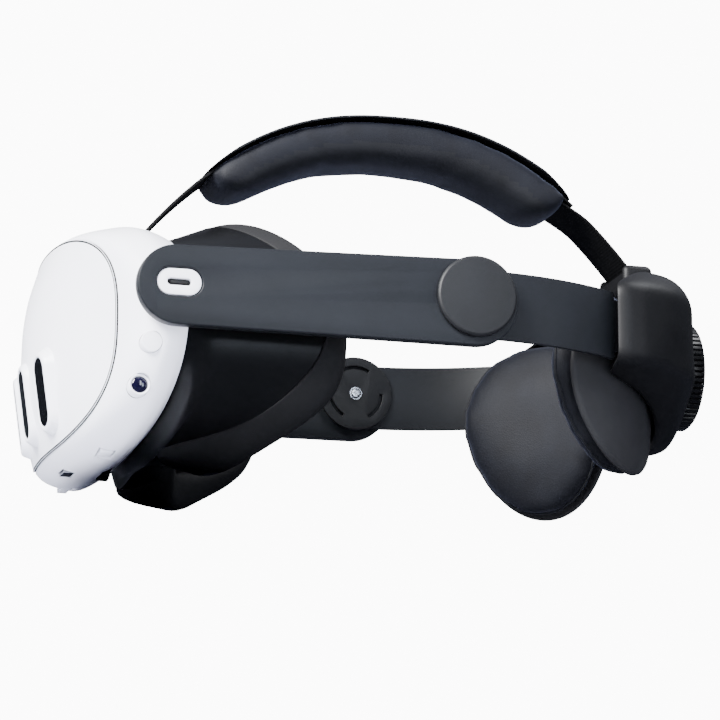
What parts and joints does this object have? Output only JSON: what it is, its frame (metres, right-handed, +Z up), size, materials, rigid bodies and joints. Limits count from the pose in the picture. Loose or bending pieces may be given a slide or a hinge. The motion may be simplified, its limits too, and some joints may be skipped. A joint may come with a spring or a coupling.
{
  "type": "vr headset",
  "caption": "Standalone head-mounted display with a white curved visor, rigid side arms, slotted rear bands, a cushioned back with a tightening dial, and a padded top strap.",
  "frame": {"origin": "middle of the footprint, at the lowest point of the face gasket", "axes": "+X towards the wearer's left, +Y towards the back of the head, +Z up"},
  "size_m": [0.1832, 0.2724, 0.1514],
  "materials": {
    "white_shell": "satin moulded",
    "black_glass": "polished, tinted black",
    "lens_clear": "polished",
    "black_satin": "satin moulded",
    "slate_satin": "satin moulded",
    "charcoal": "fine matte",
    "gasket_soft": "soft matte",
    "cushion_hide": "fine-grained",
    "steel": "brushed",
    "board": "coated",
    "display": "polished"
  },
  "bodies": {
    "visor": {"front_cover": "white_shell", "front_shell": "white_shell", "window_left": "black_glass", "window_middle": "black_glass", "window_right": "black_glass", "front_cameras": "black_satin", "side_camera_left": "black_glass", "side_camera_right": "black_glass", "side_caps": "white_shell", "mid_frame": "black_satin", "mainboard": "board", "heat_sink": "steel", "fan_housing": "black_satin", "visor_battery": "black_satin", "charge_contacts": "steel", "left_port_insert": "white_shell", "right_port_insert": "white_shell", "arm_left": "slate_satin", "arm_right": "slate_satin", "arm_liner_left": "slate_satin", "arm_liner_right": "slate_satin", "speaker_left": "black_satin", "speaker_right": "black_satin", "pivot_pin_left": "steel", "pivot_pin_right": "steel", "pivot_cap_left": "charcoal", "pivot_cap_right": "charcoal", "strap_loop": "black_satin", "frame_screws": "steel"},
    "left_band": {"band_left": "slate_satin", "inner_disc_left": "charcoal"},
    "right_band": {"band_right": "slate_satin", "inner_disc_right": "charcoal"},
    "rear_housing": {"housing_shell": "charcoal", "housing_base": "charcoal", "back_plate": "charcoal", "back_cushion": "cushion_hide", "housing_screws": "steel", "plate_screws": "steel", "ratchet_spring": "steel"},
    "dial": {"dial": "black_satin", "dial_pinion": "steel"},
    "left_rack": {"rack_left": "black_satin"},
    "right_rack": {"rack_right": "black_satin"},
    "top_strap": {"strap_band": "black_satin", "top_pad_plate": "charcoal", "top_cushion": "cushion_hide"},
    "face_interface": {"face_frame": "black_satin", "face_gasket": "gasket_soft"},
    "left_eye": {"barrel_left": "black_satin", "eye_rack_left": "black_satin", "display_left": "display", "lens_left": "lens_clear"},
    "right_eye": {"barrel_right": "black_satin", "eye_rack_right": "black_satin", "display_right": "display", "lens_right": "lens_clear"},
    "lens_wheel": {"ipd_wheel": "black_satin"},
    "fan": {"fan_rotor": "black_satin"},
    "power": {"power_button": "white_shell"},
    "volume": {"volume_rocker": "white_shell"}
  },
  "joints": [
    {"name": "left_band_tilt", "type": "hinge", "parent": "visor", "child": "left_band", "pos_m": [0.08, 0.01946, 0.06106], "axis": [1, 0, 0], "range_deg": [-4, 8]},
    {"name": "right_band_tilt", "type": "hinge", "parent": "visor", "child": "right_band", "pos_m": [-0.08, 0.01946, 0.06106], "axis": [1, 0, 0], "range_deg": [-4, 8]},
    {"name": "top_strap_tilt", "type": "hinge", "parent": "visor", "child": "top_strap", "pos_m": [0, -0.09654, 0.09456], "axis": [1, 0, 0], "range_deg": [-2, 4]},
    {"name": "fit_adjust", "type": "slide", "parent": "left_band", "child": "rear_housing", "axis": [0, 1, 0], "range_m": [-0.008, 0], "deforming": ["strap_band"]},
    {"name": "dial_turn", "type": "hinge", "parent": "rear_housing", "child": "dial", "pos_m": [0, 0.12446, 0.05726], "axis": [0, 1, 0], "range_deg": [-77, 0]},
    {"name": "left_rack_slide", "type": "slide", "parent": "rear_housing", "child": "left_rack", "axis": [1, 0, 0], "range_m": [-0.008, 0]},
    {"name": "right_rack_slide", "type": "slide", "parent": "rear_housing", "child": "right_rack", "axis": [1, 0, 0], "range_m": [0, 0.008]},
    {"name": "face_depth", "type": "slide", "parent": "visor", "child": "face_interface", "axis": [0, 1, 0], "range_m": [0, 0.012]},
    {"name": "lens_spacing", "type": "slide", "parent": "visor", "child": "left_eye", "axis": [1, 0, 0], "range_m": [-0.003, 0.003]},
    {"name": "right_lens_spacing", "type": "slide", "parent": "visor", "child": "right_eye", "axis": [1, 0, 0], "range_m": [-0.003, 0.003]},
    {"name": "lens_wheel_turn", "type": "hinge", "parent": "visor", "child": "lens_wheel", "pos_m": [0, -0.10254, 0.01306], "axis": [0, 1, 0], "range_deg": [-54, 54]},
    {"name": "fan_spin", "type": "hinge", "parent": "visor", "child": "fan", "pos_m": [0, -0.11654, 0.07306], "axis": [0, 1, 0], "continuous": true},
    {"name": "power_press", "type": "slide", "parent": "visor", "child": "power", "axis": [0, 0, 1], "range_m": [0, 0.0012], "stiffness_N_per_m": 250},
    {"name": "volume_rock", "type": "hinge", "parent": "visor", "child": "volume", "pos_m": [-0.035, -0.10969, 0.00746], "axis": [0, 1, 0], "range_deg": [-2.5, 2.5], "stiffness_Nm_per_rad": 0.05}
  ],
  "couplings": [
    {"joint": "right_band_tilt", "follows": "left_band_tilt", "ratio": 1},
    {"joint": "top_strap_tilt", "follows": "left_band_tilt", "ratio": 0.43},
    {"joint": "dial_turn", "follows": "fit_adjust", "rad_per_m": 166.67},
    {"joint": "left_rack_slide", "follows": "fit_adjust", "ratio": 1},
    {"joint": "right_rack_slide", "follows": "fit_adjust", "ratio": -1},
    {"joint": "right_lens_spacing", "follows": "lens_spacing", "ratio": -1},
    {"joint": "lens_wheel_turn", "follows": "lens_spacing", "rad_per_m": 312.5}
  ]
}
